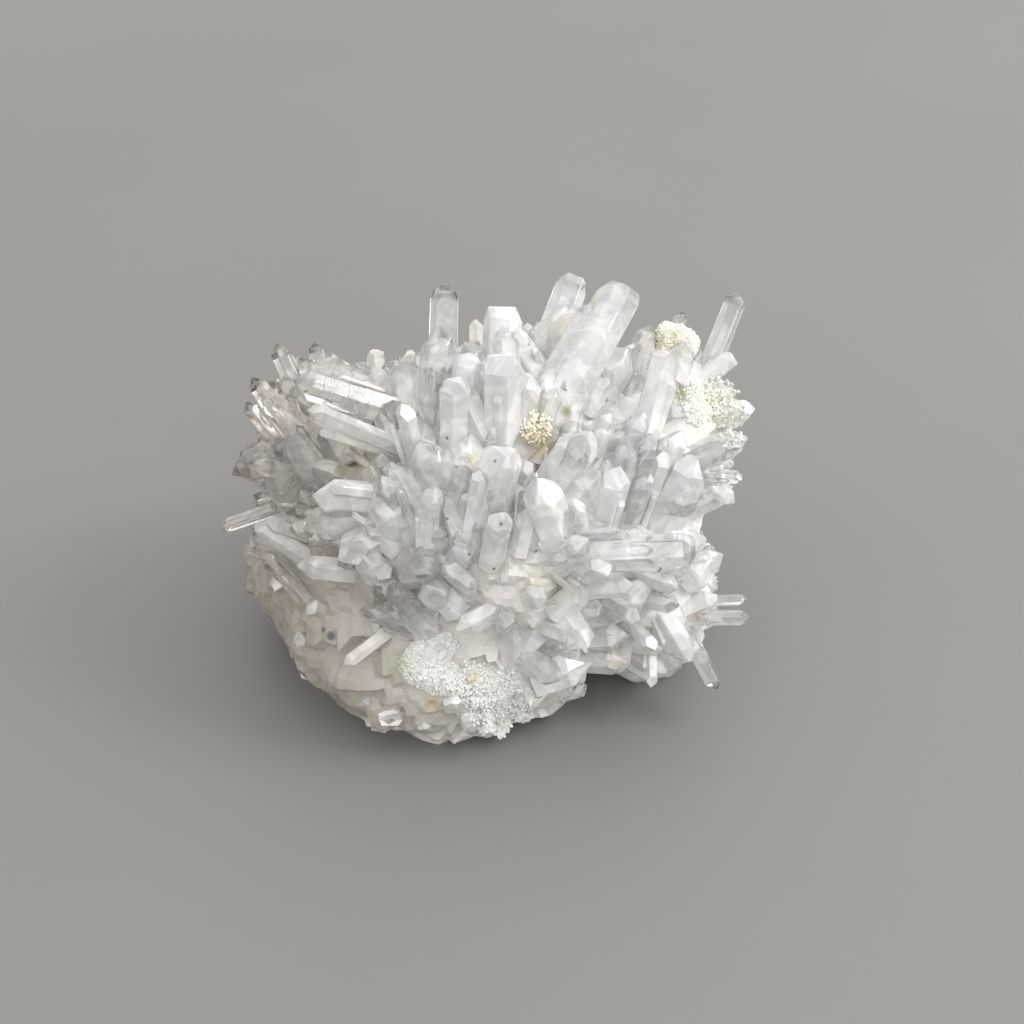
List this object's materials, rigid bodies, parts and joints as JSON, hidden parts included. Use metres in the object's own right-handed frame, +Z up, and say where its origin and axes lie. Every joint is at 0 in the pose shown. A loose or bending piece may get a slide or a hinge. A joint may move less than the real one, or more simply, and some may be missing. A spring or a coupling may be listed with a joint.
{
  "type": "quartz crystal cluster",
  "caption": "Hand-size cluster of clear and milky six-sided quartz crystals grown together on a lump of milky quartz, cut flat underneath to rest on.",
  "frame": {"origin": "middle of the specimen's footprint, on the plane of its flat resting face", "axes": "+Z up, +X to the right of the pictured view and along the specimen's longest side, -Y towards the pictured front"},
  "size_m": [0.0972, 0.0846, 0.075],
  "materials": {
    "quartz": "glassy crystals, clear at their points and milky at their feet, on a white sugary rock with faint brown and olive stains"
  },
  "bodies": {
    "root": {"quartz_cluster": "quartz"}
  },
  "joints": []
}
